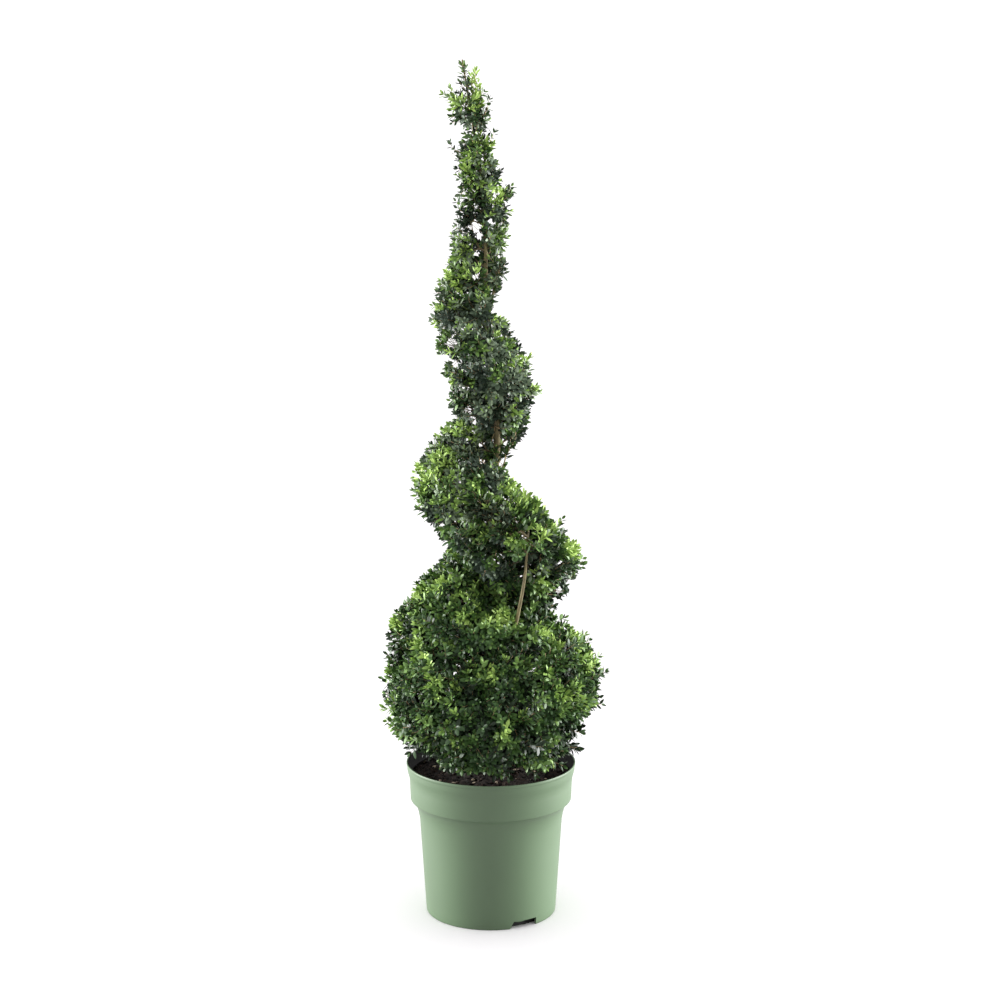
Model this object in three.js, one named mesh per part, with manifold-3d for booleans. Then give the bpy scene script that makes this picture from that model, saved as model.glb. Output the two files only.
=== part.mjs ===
// Spiral topiary in its nursery pot: a clipped evergreen with small leaves, whose crown is a low ball
// that winds up the trunk as one narrowing ribbon. Millimetres, +Z up, +X right, front towards -Y.
// The origin is the middle of the pot's flat underside.
import * as THREE from "three";
import { mergeVertices } from "three/addons/utils/BufferGeometryUtils.js";
import Module from "manifold-3d";

const wasm = await Module();
wasm.setup();

// The clearance between pieces that rest against each other.
const gap = 0.3;

// Pot.
const potHeight = 220;
const rimRadius = 120;
const lipHeight = 13;
const bandHeight = 57;
const bandLowRadius = 111.5;
const shoulderHeight = 12;
const wallTopRadius = 101.7;
const footRadius = 92.5;
const wallThickness = 2;
const footRingWidth = 4;
const drainChannelInner = 56;
const drainChannelHeight = 8;
const drainNotchWidth = 34;
const drainNotchDepth = 12;
const drainSlotWidth = 24;
const drainSlotDepth = 12;
const drainNotchAngles = [-60, 120];
const potSegments = 44;

// Soil.
const soilTop = 205;
const soilEdgeDrop = 3;

// Trunk: how far its middle wanders from the pot's axis at each height.
const trunkBends = [
  { height: soilTop + gap, x: 0, y: 0 },
  { height: soilTop + 35, x: 0, y: 0 },
  { height: 360, x: -2, y: 2 },
  { height: 520, x: -2.5, y: 3 },
  { height: 612, x: 2, y: 0 },
  { height: 672, x: 9, y: -3 },
  { height: 780, x: 3, y: -1 },
  { height: 892, x: -6, y: 3 },
  { height: 990, x: -8, y: 4 },
  { height: 1110, x: -23, y: 1 },
  { height: 1203, x: -38, y: -1 },
];
const trunkFootRadius = 10.5;
const trunkTipRadius = 1.1;
const rootFlareRadius = 7;
const rootFlareHeight = 14;
// Below 1 the trunk loses more of its width low down than near the tip.
const trunkTaper = 0.8;
const trunkSides = 10;
const trunkSteps = 26;

// Spiral. The ribbon climbs from the right over the front to the left, and round the back again.
// A station stands at each half turn, counted from the first one at the right: even ones are at the right,
// odd ones at the left. groove is the height of the groove under the ribbon and waist the crown's radius
// in it, and crest is the height of the ribbon's widest place and reach its radius there.
const stations = [
  { halfTurn: -1, groove: 396, waist: 142, crest: 408, reach: 144 },
  { halfTurn: 0, groove: 442, waist: 96, crest: 522, reach: 129 },
  { halfTurn: 1, groove: 533, waist: 62, crest: 620, reach: 116 },
  { halfTurn: 2, groove: 643, waist: 14, crest: 748, reach: 64 },
  { halfTurn: 3, groove: 724, waist: 53, crest: 852, reach: 75 },
  { halfTurn: 4, groove: 890, waist: 13, crest: 1003, reach: 39 },
  { halfTurn: 5, groove: 1012, waist: 32, crest: 1074, reach: 33 },
  { halfTurn: 6, groove: 1110, waist: 17, crest: 1115, reach: 18 },
  { halfTurn: 7, groove: 1108, waist: 13, crest: 1113, reach: 14 },
  { halfTurn: 8, groove: 1108, waist: 13, crest: 1113, reach: 14 },
];
const ribbonStart = -1;
const ribbonEnd = 5.6;
const ribbonMasses = 10;
// How much deeper the grooves are cut at the front and the back than at the sides.
const grooveDeepening = 0.5;
// Above 1 a shoulder is round, at 1 it is a straight slope.
const ribbonRoundness = 1.2;

// Ball: the widest mass, round the foot of the trunk.
const ballBottom = 231;
const ballBottomRadius = 96;
const ballUnderside = 16;
// The ball is a little wider and higher at the right than at the left.
const ballCrest = 332;
const ballCrestTilt = 14;
const ballReach = 153;
const ballReachTilt = 5;
const ballBellyRoundness = 1.7;
const ballShoulderRoundness = 1.35;
const ballSplit = 338;
const ballLowMasses = 6;
const ballHighMasses = 3;

// Tip: the tuft round the leader.
const tipBottom = 1110;
const tipTop = 1198;
const tipReach = 27;
const tipTopShare = 0.42;
// Below 1 the tuft's ends are blunt.
const tipBluntness = 0.7;

// Unevenness of the clipped faces: broad humps with fine ones on them, no higher than a share of the radius.
const tuftHeight = 5;
const tuftShare = 0.09;
const broadTuft = 17;
const fineTuft = 9;

// The clearance in the grooves, where two turns meet.
const grooveClearance = 2;

const potColour = new THREE.MeshStandardMaterial({ color: 0x8fa888, roughness: 0.55, metalness: 0 });
const soilColour = new THREE.MeshStandardMaterial({ color: 0x2a1d18, roughness: 0.95, metalness: 0 });
const barkColour = new THREE.MeshStandardMaterial({ color: 0x8a7550, roughness: 0.9, metalness: 0 });
const leafColour = new THREE.MeshStandardMaterial({ color: 0x35562c, roughness: 0.5, metalness: 0 });

const lerp = THREE.MathUtils.lerp;

// A closed geometry as a solid, and back.
function solidOf(geometry) {
  const bare = new THREE.BufferGeometry();
  bare.setAttribute("position", geometry.getAttribute("position"));
  bare.setIndex(geometry.getIndex());
  const merged = mergeVertices(bare, 1e-3);
  return new wasm.Manifold(
    new wasm.Mesh({
      numProp: 3,
      vertProperties: merged.getAttribute("position").array,
      triVerts: new Uint32Array(merged.getIndex().array),
    }),
  );
}

function geometryOf(solid) {
  const mesh = solid.getMesh();
  const geometry = new THREE.BufferGeometry();
  geometry.setAttribute("position", new THREE.BufferAttribute(mesh.vertProperties, 3));
  geometry.setIndex(new THREE.BufferAttribute(mesh.triVerts, 1));
  geometry.computeVertexNormals();
  return geometry;
}

function addPiece(parent, name, geometry, material) {
  const mesh = new THREE.Mesh(geometry, material);
  mesh.name = name;
  parent.add(mesh);
}

// Moves every vertex of a geometry to the place that a rule gives for it.
function reshape(geometry, rule) {
  const position = geometry.getAttribute("position");
  const point = new THREE.Vector3();
  for (let i = 0; i < position.count; i += 1) {
    point.fromBufferAttribute(position, i);
    const moved = rule(point);
    position.setXYZ(i, moved.x, moved.y, moved.z);
  }
  return geometry;
}

// Pot ------------------------------------------------------------------------------------------

// The pot's inner face, from the middle of the floor to the lip, moved inwards by a margin.
function potInside(margin) {
  const inset = wallThickness + margin;
  const floor = wallThickness + margin;
  const bandLow = potHeight - bandHeight;
  return [
    [0, floor],
    [drainChannelInner - inset, floor],
    [drainChannelInner + 3 - inset, drainChannelHeight + floor],
    [footRadius - inset, drainChannelHeight + floor],
    [wallTopRadius - inset, bandLow - shoulderHeight],
    [bandLowRadius - inset, bandLow + wallThickness],
    [rimRadius - inset - 1.2, potHeight - lipHeight],
    [rimRadius - inset, potHeight],
  ];
}

function buildPot() {
  const bandLow = potHeight - bandHeight;
  const outside = [
    [rimRadius, potHeight],
    [rimRadius - 0.4, potHeight - lipHeight + 1],
    [rimRadius - 1.4, potHeight - lipHeight],
    [bandLowRadius, bandLow],
    [wallTopRadius + 4, bandLow - shoulderHeight * 0.7],
    [wallTopRadius, bandLow - shoulderHeight],
    [footRadius, 1.5],
    [footRadius - 1, 0],
    [footRadius - footRingWidth, 0],
    [footRadius - footRingWidth - 1, drainChannelHeight],
    [drainChannelInner + 3, drainChannelHeight],
    [drainChannelInner, 0],
    [0, 0],
  ];
  const profile = potInside(0)
    .concat(outside)
    .map(([radius, height]) => new THREE.Vector2(radius, height))
    .reverse();
  const shell = new THREE.LatheGeometry(profile, potSegments).rotateX(Math.PI / 2);
  let pot = solidOf(shell);
  for (const angle of drainNotchAngles) {
    const turn = THREE.MathUtils.degToRad(angle);
    const notch = new THREE.BoxGeometry(drainNotchDepth, drainNotchWidth, drainChannelHeight + 1)
      .translate(footRadius - drainNotchDepth / 4, 0, (drainChannelHeight - 1) / 2)
      .rotateZ(turn);
    const slot = new THREE.BoxGeometry(drainSlotDepth, drainSlotWidth, 3 * wallThickness)
      .translate(footRadius - footRingWidth - drainSlotDepth, 0, drainChannelHeight + wallThickness / 2)
      .rotateZ(turn);
    pot = pot.subtract(solidOf(notch)).subtract(solidOf(slot));
  }
  return geometryOf(pot);
}

function buildSoil() {
  const inside = potInside(gap).filter(([, height]) => height < soilTop - soilEdgeDrop);
  const wallBelow = inside[inside.length - 1];
  const wallAbove = potInside(gap).find(([, height]) => height > soilTop - soilEdgeDrop);
  const share = (soilTop - soilEdgeDrop - wallBelow[1]) / (wallAbove[1] - wallBelow[1]);
  const edgeRadius = lerp(wallBelow[0], wallAbove[0], share);
  const top = [
    [edgeRadius, soilTop - soilEdgeDrop],
    [edgeRadius * 0.7, soilTop],
    [0, soilTop],
  ];
  const profile = inside.concat(top).map(([radius, height]) => new THREE.Vector2(radius, height));
  return new THREE.LatheGeometry(profile, potSegments).rotateX(Math.PI / 2);
}

// Trunk and boughs -----------------------------------------------------------------------------

// A limb is a closed cylinder bent along a curve, with its own radius at each step.
function limb(curve, radiusAt, sides, steps, extra) {
  const run = curve.getPoint(1).sub(curve.getPoint(0));
  const steep = Math.abs(run.z) > 0.5 * run.length();
  const across = steep ? new THREE.Vector3(1, 0, 0) : new THREE.Vector3(0, 0, 1);
  const cylinder = new THREE.CylinderGeometry(1, 1, 1, sides, steps);
  return reshape(cylinder, (point) => {
    const along = point.y + 0.5;
    const tangent = curve.getTangent(along);
    const normal = across.clone().addScaledVector(tangent, -across.dot(tangent)).normalize();
    const binormal = new THREE.Vector3().crossVectors(normal, tangent);
    const radius = radiusAt(along) + extra;
    return curve
      .getPoint(along)
      .addScaledVector(normal, point.x * radius)
      .addScaledVector(binormal, point.z * radius)
      .addScaledVector(tangent, 2 * extra * point.y);
  });
}

const trunkCurve = new THREE.CatmullRomCurve3(
  trunkBends.map(({ height, x, y }) => new THREE.Vector3(x, y, height)),
);
const trunkHeight = trunkBends[trunkBends.length - 1].height - soilTop;

// The middle of the trunk at a height, found by halving the stretch of the curve that holds it.
function trunkMiddle(height) {
  let low = 0;
  let high = 1;
  for (let i = 0; i < 24; i += 1) {
    const half = (low + high) / 2;
    if (trunkCurve.getPoint(half).z < height) {
      low = half;
    } else {
      high = half;
    }
  }
  return trunkCurve.getPoint(low);
}

function trunkRadius(along) {
  const above = trunkCurve.getPoint(along).z - soilTop;
  const taper = lerp(trunkFootRadius, trunkTipRadius, Math.pow(above / trunkHeight, trunkTaper));
  return taper + rootFlareRadius * Math.exp(-above / rootFlareHeight);
}

function buildTrunk(extra) {
  return limb(trunkCurve, trunkRadius, trunkSides, trunkSteps, extra);
}

// Each bough leaves the trunk at one height and rises to its end, which lies in a mass.
// angle is measured from +X round towards +Y, and out is the end's distance from the trunk.
const boughs = [
  { name: "low_bough_front", from: 219, to: 258, angle: -112, out: 50, foot: 4.2, tip: 2.6 },
  { name: "low_bough_right", from: 223, to: 262, angle: -28, out: 54, foot: 4.4, tip: 2.8 },
  { name: "low_bough_back", from: 217, to: 256, angle: 70, out: 48, foot: 4.0, tip: 2.6 },
  { name: "low_bough_left", from: 221, to: 260, angle: 165, out: 52, foot: 4.2, tip: 2.6 },
  { name: "side_stem", from: 262, to: 566, angle: -62, out: 108, foot: 5.2, tip: 2.4 },
  { name: "groove_bough_lower", from: 622, to: 690, angle: -20, out: 32, foot: 2.6, tip: 1.6 },
  { name: "groove_bough_upper", from: 868, to: 925, angle: -35, out: 22, foot: 1.9, tip: 1.2 },
];
const boughSides = 7;
const boughSteps = 6;
// Where each bough bends up, as shares of its way out and of its rise.
const boughBendOut = 0.62;
const boughBendUp = 0.4;

function boughCurve({ from, to, angle, out }) {
  const turn = THREE.MathUtils.degToRad(angle);
  const foot = trunkMiddle(from);
  const head = trunkMiddle(to);
  const end = new THREE.Vector3(head.x + out * Math.cos(turn), head.y + out * Math.sin(turn), to);
  const bend = foot.clone().lerp(end, boughBendOut).setZ(lerp(from, to, boughBendUp));
  return new THREE.QuadraticBezierCurve3(foot, bend, end);
}

function buildBough(bough, extra) {
  const radiusAt = (along) => lerp(bough.foot, bough.tip, along);
  return limb(boughCurve(bough), radiusAt, boughSides, boughSteps, extra);
}

// Crown ----------------------------------------------------------------------------------------

// A smooth value between two stations.
function station(key, halfTurn) {
  const last = stations.length - 1;
  const place = THREE.MathUtils.clamp(halfTurn - stations[0].halfTurn, 0, last);
  const low = Math.min(Math.floor(place), last - 1);
  const share = place - low;
  const before = stations[Math.max(low - 1, 0)][key];
  const from = stations[low][key];
  const to = stations[low + 1][key];
  const after = stations[Math.min(low + 2, last)][key];
  const curve = new THREE.CubicBezierCurve(
    new THREE.Vector2(0, from),
    new THREE.Vector2(1 / 3, from + (to - before) / 6),
    new THREE.Vector2(2 / 3, to - (after - from) / 6),
    new THREE.Vector2(1, to),
  );
  return curve.getPoint(share).y;
}

// Small humps, from -1 to 1, that give each clipped face its own unevenness.
function tufts(x, y, z) {
  const broad = Math.sin(x / broadTuft + 1.3) * Math.sin(y / broadTuft + 0.4) * Math.sin(z / broadTuft + 2.1);
  const fine = Math.sin((x + z) / fineTuft) * Math.cos((y - z) / fineTuft);
  return lerp(broad, fine, 0.35);
}

// The groove under the ribbon: its height and the crown's radius in it.
function groove(halfTurn) {
  const deepening = grooveDeepening * Math.pow(Math.sin(Math.PI * halfTurn), 2);
  return {
    height: station("groove", halfTurn),
    radius: station("waist", halfTurn) * (1 - (halfTurn < 0 ? 0 : deepening)),
  };
}

// The radius of one face between two grooves: the low waist, the reach at the crest and the high waist.
function faceRadius(height, low, crest, high) {
  const end = height < crest.height ? low : high;
  const share = Math.min(Math.abs((height - crest.height) / (end.height - crest.height)), 1);
  const bulge = Math.pow(1 - Math.pow(share, end.roundness), 1 / end.roundness);
  return end.radius + (crest.radius - end.radius) * bulge;
}

function ribbonRadius(halfTurn, height) {
  const low = { ...groove(halfTurn), roundness: ribbonRoundness };
  const crest = { height: station("crest", halfTurn), radius: station("reach", halfTurn) };
  const high = { ...groove(halfTurn + 2), roundness: ribbonRoundness };
  return faceRadius(height, low, crest, high);
}

// The ball's top is the first groove, as long as the ribbon hasn't left it.
function ballTop(halfTurn) {
  return halfTurn < ribbonStart ? station("groove", halfTurn + 2) : station("groove", halfTurn);
}

function ballRadius(halfTurn, height) {
  const above = halfTurn < ribbonStart ? halfTurn + 2 : halfTurn;
  const toRight = Math.cos(Math.PI * halfTurn);
  const low = { height: ballBottom, radius: ballBottomRadius, roundness: ballBellyRoundness };
  const crest = {
    height: ballCrest + ballCrestTilt * toRight,
    radius: ballReach + ballReachTilt * toRight,
  };
  const high = { ...groove(above), roundness: ballShoulderRoundness };
  return faceRadius(height, low, crest, high);
}

// A mass is a box bent round the trunk: its length runs from one half turn to another, its height from
// one surface to another, and its depth from the trunk's middle out to the clipped face.
function mass({ from, to, bottomAt, topAt, radiusAt, underside }, lengthSteps, heightSteps) {
  const box = new THREE.BoxGeometry(2, 1, 1, lengthSteps, 1, heightSteps);
  const core = 1.4;
  return reshape(box, (point) => {
    const share = (point.x + 1) / 2;
    const halfTurn = lerp(from, to, share);
    const inward = 0.5 - point.y;
    const rise = point.z + 0.5;
    const bottom = bottomAt(halfTurn) + grooveClearance;
    const top = topAt(halfTurn) - grooveClearance;
    const height = lerp(bottom + underside * inward, top, rise);
    const turn = -Math.PI * halfTurn;
    const middle = trunkMiddle(height);
    const face = radiusAt(halfTurn, height);
    const hump = tufts(middle.x + face * Math.cos(turn), middle.y + face * Math.sin(turn), height);
    const uneven = face + Math.min(tuftHeight, tuftShare * face) * hump;
    const radius = lerp(uneven, core, inward);
    // Each end stands back from the plane that it shares with the next mass.
    const clear = (1 - 2 * share) * gap;
    return new THREE.Vector3(
      middle.x + radius * Math.cos(turn) + clear * Math.sin(turn),
      middle.y + radius * Math.sin(turn) - clear * Math.cos(turn),
      height,
    );
  });
}

function tipMass() {
  const ball = new THREE.SphereGeometry(1, 12, 7);
  return reshape(ball, (point) => {
    const rise = (point.y + 1) / 2;
    const height = lerp(tipBottom, tipTop, rise);
    const middle = trunkMiddle(height);
    const round = Math.hypot(point.x, point.z);
    const narrowing = lerp(1, tipTopShare, rise);
    const hump = tufts(point.x * 2 * tipReach, point.z * 2 * tipReach, height);
    const reach = Math.pow(round, tipBluntness) * narrowing * (tipReach + 0.5 * tuftHeight * hump);
    const turn = Math.atan2(-point.z, point.x);
    return new THREE.Vector3(
      middle.x + reach * Math.cos(turn),
      middle.y + reach * Math.sin(turn),
      height,
    );
  });
}

// Assembly -------------------------------------------------------------------------------------

const topiary = new THREE.Group();
topiary.name = "spiral_topiary";
const container = new THREE.Group();
const plant = new THREE.Group();
const crown = new THREE.Group();
plant.add(crown);
topiary.add(container, plant);

addPiece(container, "pot", buildPot(), potColour);
addPiece(container, "soil", buildSoil(), soilColour);
addPiece(plant, "trunk", buildTrunk(0), barkColour);

const roomForTrunk = solidOf(buildTrunk(gap));
let roomForLimbs = roomForTrunk;
for (const bough of boughs) {
  const seated = solidOf(buildBough(bough, 0)).subtract(roomForTrunk);
  addPiece(plant, bough.name, geometryOf(seated), barkColour);
  roomForLimbs = roomForLimbs.add(solidOf(buildBough(bough, gap)));
}

function addMass(name, geometry) {
  addPiece(crown, name, geometryOf(solidOf(geometry).subtract(roomForLimbs)), leafColour);
}

for (let i = 0; i < ballLowMasses; i += 1) {
  const from = ribbonStart - 1 + (2 * i) / ballLowMasses;
  const shape = {
    from,
    to: from + 2 / ballLowMasses,
    bottomAt: () => ballBottom,
    topAt: (halfTurn) => (halfTurn < ribbonStart ? ballSplit : ballTop(halfTurn)),
    radiusAt: ballRadius,
    underside: ballUnderside,
  };
  addMass(`ball_low_${i + 1}`, mass(shape, 4, 5));
}

for (let i = 0; i < ballHighMasses; i += 1) {
  const from = ribbonStart - 1 + i / ballHighMasses;
  const shape = {
    from,
    to: from + 1 / ballHighMasses,
    bottomAt: () => ballSplit,
    topAt: ballTop,
    radiusAt: ballRadius,
    underside: 0,
  };
  addMass(`ball_high_${i + 1}`, mass(shape, 4, 5));
}

for (let i = 0; i < ribbonMasses; i += 1) {
  const length = (ribbonEnd - ribbonStart) / ribbonMasses;
  const shape = {
    from: ribbonStart + i * length,
    to: ribbonStart + (i + 1) * length,
    bottomAt: (halfTurn) => station("groove", halfTurn),
    topAt: (halfTurn) => Math.min(station("groove", halfTurn + 2), tipBottom),
    radiusAt: ribbonRadius,
    underside: 0,
  };
  addMass(`spiral_${String(i + 1).padStart(2, "0")}`, mass(shape, 6, 7));
}

addMass("tip", tipMass());

export default topiary;
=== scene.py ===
import math

import bmesh
import bpy
import numpy as np
from mathutils import Matrix, Vector, noise
from mathutils.bvhtree import BVHTree
from mathutils.kdtree import KDTree


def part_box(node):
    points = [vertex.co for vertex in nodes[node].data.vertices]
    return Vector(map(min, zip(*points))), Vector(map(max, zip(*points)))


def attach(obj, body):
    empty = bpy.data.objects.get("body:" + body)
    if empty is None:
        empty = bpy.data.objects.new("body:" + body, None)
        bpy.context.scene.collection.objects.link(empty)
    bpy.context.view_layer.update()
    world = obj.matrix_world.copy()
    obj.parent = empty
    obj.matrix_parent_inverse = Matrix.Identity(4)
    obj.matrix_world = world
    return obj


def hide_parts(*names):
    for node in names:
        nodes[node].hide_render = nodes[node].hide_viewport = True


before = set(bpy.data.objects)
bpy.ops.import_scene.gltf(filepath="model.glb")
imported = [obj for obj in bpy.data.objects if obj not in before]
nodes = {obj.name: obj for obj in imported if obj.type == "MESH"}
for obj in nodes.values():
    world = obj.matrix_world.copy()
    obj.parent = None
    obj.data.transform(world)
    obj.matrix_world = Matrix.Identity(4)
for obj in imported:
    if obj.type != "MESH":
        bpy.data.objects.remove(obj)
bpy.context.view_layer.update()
scene = bpy.context.scene
up = np.array((0.0, 0.0, 1.0))


# Small helpers

def colour(red, green, blue):
    # A screen colour from 0 to 255, as the linear values a shader wants.
    return tuple(((c / 255 + 0.055) / 1.055) ** 2.4 for c in (red, green, blue)) + (1.0,)


def unit(v):
    return v / np.maximum(np.linalg.norm(v, axis=-1, keepdims=True), 1e-9)


def plainMaterial(name, tint, rough, specular=0.5):
    made = bpy.data.materials.new(name)
    made.use_nodes = True
    sockets = made.node_tree.nodes["Principled BSDF"].inputs
    sockets["Base Color"].default_value = colour(*tint)
    sockets["Roughness"].default_value = rough
    sockets["Specular IOR Level"].default_value = specular
    return made


def addNode(made, kind, links=(), **settings):
    # A shader node with its plain values and the links into it.
    node = made.node_tree.nodes.new(kind)
    for key, value in settings.items():
        if key in node.inputs:
            node.inputs[key].default_value = value
        else:
            setattr(node, key, value)
    for socket, output in links:
        made.node_tree.links.new(output, node.inputs[socket])
    return node


def noiseOf(made, lumps, detail, **settings):
    # Noise with this many lumps in a metre each way.
    spot = addNode(made, "ShaderNodeTexCoord").outputs["Object"]
    scaled = addNode(made, "ShaderNodeMapping", [("Vector", spot)], Scale=lumps).outputs[0]
    return addNode(made, "ShaderNodeTexNoise", [("Vector", scaled)],
                   Scale=1.0, Detail=detail, **settings).outputs["Fac"]


def rampOf(made, factor, stops):
    ramp = addNode(made, "ShaderNodeValToRGB", [("Fac", factor)])
    marks = ramp.color_ramp.elements
    while len(marks) < len(stops):
        marks.new(0.5)
    for mark, (spot, tint) in zip(marks, stops):
        mark.position = spot
        mark.color = colour(*tint)
    return ramp.outputs["Color"]


def wire(made, socket, output):
    made.node_tree.links.new(output, made.node_tree.nodes["Principled BSDF"].inputs[socket])


def bumpOf(made, height, strength, depth):
    bump = addNode(made, "ShaderNodeBump", [("Height", height)], Strength=strength, Distance=depth)
    wire(made, "Normal", bump.outputs["Normal"])


def atHeight(table, height):
    # A value read off rows of height and value.
    return np.interp(height, *np.array(table).T)


def place(name, mesh, materials):
    for made in materials:
        mesh.materials.append(made)
    piece = bpy.data.objects.new(name, mesh)
    scene.collection.objects.link(piece)
    return piece


def pieceFromBmesh(name, bm, materials, smooth=True):
    mesh = bpy.data.meshes.new(name)
    for face in bm.faces:
        face.smooth = smooth
    bm.to_mesh(mesh)
    bm.free()
    return place(name, mesh, materials)


def pieceFromArrays(name, points, faces, slots, materials):
    # Many small things as one mesh of triangles.
    mesh = bpy.data.meshes.new(name)
    mesh.vertices.add(len(points))
    mesh.vertices.foreach_set("co", np.asarray(points, np.float32).ravel())
    mesh.loops.add(faces.size)
    mesh.loops.foreach_set("vertex_index", faces.astype(np.int32).ravel())
    mesh.polygons.add(len(faces))
    mesh.polygons.foreach_set("loop_start", np.arange(0, faces.size, 3, dtype=np.int32))
    mesh.shade_smooth()
    piece = place(name, mesh, materials)
    mesh.polygons.foreach_set("material_index", np.asarray(slots, np.int32))
    mesh.update(calc_edges=True)
    return piece


def joined(parts):
    # Points, faces and slots of many small things as those of one.
    points, faces, slots = zip(*parts)
    starts = np.cumsum([0, *map(len, points)])
    faces = [own + start for own, start in zip(faces, starts)]
    return np.concatenate(points), np.concatenate(faces), np.concatenate(slots)


def declare(piece, slot, *replaced):
    bpy.data.collections["litBySoftBoxes"].objects.link(piece)
    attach(piece, "root")
    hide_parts(*replaced)


# Camera, floor and light

studio = {
    "camera": (0.0129, -3.5, 1.316),
    "tiltDown": 11.59,  # degrees below the horizon
    "lens": 92.4,
    "farthest": 2000.0,
    "floorSize": 900.0,
    "floorTint": (255, 252, 255),  # a little less green, as the pot adds some
    "horizonStrength": 1.0,
    "skyStrength": 0.5,
    "skyFrom": 0.22,  # sine of the height where the sky has faded to its own strength
    "overhead": 2.5,
    "overheadSpread": 120,  # degrees
    "lamps": [  # place, what it points at, size, watts
        ((-3.0, 0.50, 0.8), (0, 0, 0.6), 1.6, 330),
        ((3.0, 0.55, 0.8), (0, 0, 0.6), 1.6, 345),
    ],
}


def makeStudio():
    camera = bpy.data.objects.new("camera", bpy.data.cameras.new("camera"))
    camera.location = studio["camera"]
    camera.rotation_euler = (math.radians(90 - studio["tiltDown"]), 0, 0)
    camera.data.lens = studio["lens"]
    camera.data.clip_end = studio["farthest"]
    scene.collection.objects.link(camera)
    scene.camera = camera

    bm = bmesh.new()
    bmesh.ops.create_grid(bm, x_segments=1, y_segments=1, size=studio["floorSize"])
    floor = pieceFromBmesh("floor", bm, [plainMaterial("floorPaper", studio["floorTint"], 0.9)])

    lit = bpy.data.collections.new("litBySoftBoxes")  # the floor is left out, so that it stays even
    for index, (spot, aim, size, watts) in enumerate(studio["lamps"]):
        lamp = bpy.data.lights.new(f"softBox{index}", "AREA")
        lamp.size = size
        lamp.energy = watts
        holder = bpy.data.objects.new(lamp.name, lamp)
        holder.location = spot
        holder.rotation_euler = (Vector(aim) - Vector(spot)).to_track_quat("-Z", "Y").to_euler()
        holder.light_linking.receiver_collection = lit
        scene.collection.objects.link(holder)

    overhead = bpy.data.lights.new("overhead", "SUN")
    overhead.energy = studio["overhead"]
    overhead.angle = math.radians(studio["overheadSpread"])
    scene.collection.objects.link(bpy.data.objects.new("overhead", overhead))

    world = bpy.data.worlds.new("studioSky")
    world.use_nodes = True
    sky = world.node_tree.nodes["Background"].inputs
    sky["Color"].default_value = (1, 1, 1, 1)
    way = addNode(world, "ShaderNodeTexCoord").outputs["Generated"]
    rise = addNode(world, "ShaderNodeSeparateXYZ", [(0, way)]).outputs["Z"]
    fade = addNode(world, "ShaderNodeMapRange", [("Value", rise)])
    for socket, key in (("From Max", "skyFrom"), ("To Min", "horizonStrength"), ("To Max", "skyStrength")):
        fade.inputs[socket].default_value = studio[key]
    world.node_tree.links.new(fade.outputs[0], sky["Strength"])
    scene.world = world
    scene.view_settings.view_transform = "Standard"


makeStudio()
print("studio ready")


# Pot

pot = {
    "segments": 128,
    "lip": ((0.1200, 0.2165), (0.1190, 0.2152), (0.1189, 0.2095), (0.1179, 0.2055), (0.1169, 0.2020),
            (0.1160, 0.1985)),  # radius and height, down from the rim
    "shoulder": ((0.1153, 0.190), (0.1144, 0.1669), (0.1126, 0.1656), (0.1104, 0.1633), (0.1082, 0.1604),
                 (0.1062, 0.1568), (0.1046, 0.1525), (0.1034, 0.1480), (0.1024, 0.1430)),
    "wallTop": 0.136,
    "wallTopRadius": 0.1013,
    "footRadius": 0.0925,
    "wall": 0.002,
    "footRing": 0.004,
    "channelInner": 0.082,
    "channelHeight": 0.011,
    "channelSlope": 0.003,
    "footRound": 0.001,
    "notchWidth": 0.043,
    "notchSlant": 0.006,
    "notchDepth": 0.012,
    "notchAngles": (-60, 120),
    "edgeRound": 0.0006,
    "sharpFrom": 35,  # degrees
    "sage": (73, 93, 67),
    "sageRough": 0.48,
    "innerFace": (7, 7, 6),
    "innerRough": 0.9,
    "patches": (9, 9, 5),  # lumps in a metre
    "patchTints": (0.955, 1.03),  # how dark and how pale the patches are
    "grain": (900, 900, 700),
}


def spun(profile, steps):
    # A closed shell turned from a profile that starts and ends on the axis.
    bm = bmesh.new()
    corners = [bm.verts.new((radius, 0, height)) for radius, height in profile]
    line = [bm.edges.new(pair) for pair in zip(corners, corners[1:])]
    bmesh.ops.spin(bm, geom=corners + line, cent=(0, 0, 0), axis=(0, 0, 1),
                   angle=math.tau, steps=steps, use_merge=True)
    bmesh.ops.remove_doubles(bm, verts=bm.verts, dist=1e-5)
    bmesh.ops.recalc_face_normals(bm, faces=bm.faces)
    return bm


def roundRings(bm, width, sharpest=0.3, segments=3):
    # Rounds the hoops where the profile turns sharply.
    hoops = [e for e in bm.edges if len(e.link_faces) == 2 and e.calc_face_angle(0) > sharpest
             and abs(e.verts[0].co.z - e.verts[1].co.z) < 1e-6]
    bmesh.ops.bevel(bm, geom=hoops, offset=width, offset_type="OFFSET", segments=segments,
                    profile=0.5, affect="EDGES", material=-1)


def plasticMaterial(name, tint, rough):
    made = plainMaterial(name, tint, rough)
    dark, pale = (tuple(c * share for c in tint) for share in pot["patchTints"])
    patches = noiseOf(made, pot["patches"], 3.0)
    wire(made, "Base Color", rampOf(made, patches, [(0.3, dark), (0.7, pale)]))
    bumpOf(made, noiseOf(made, pot["grain"], 2.0), 0.12, 0.0004)
    return made


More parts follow.
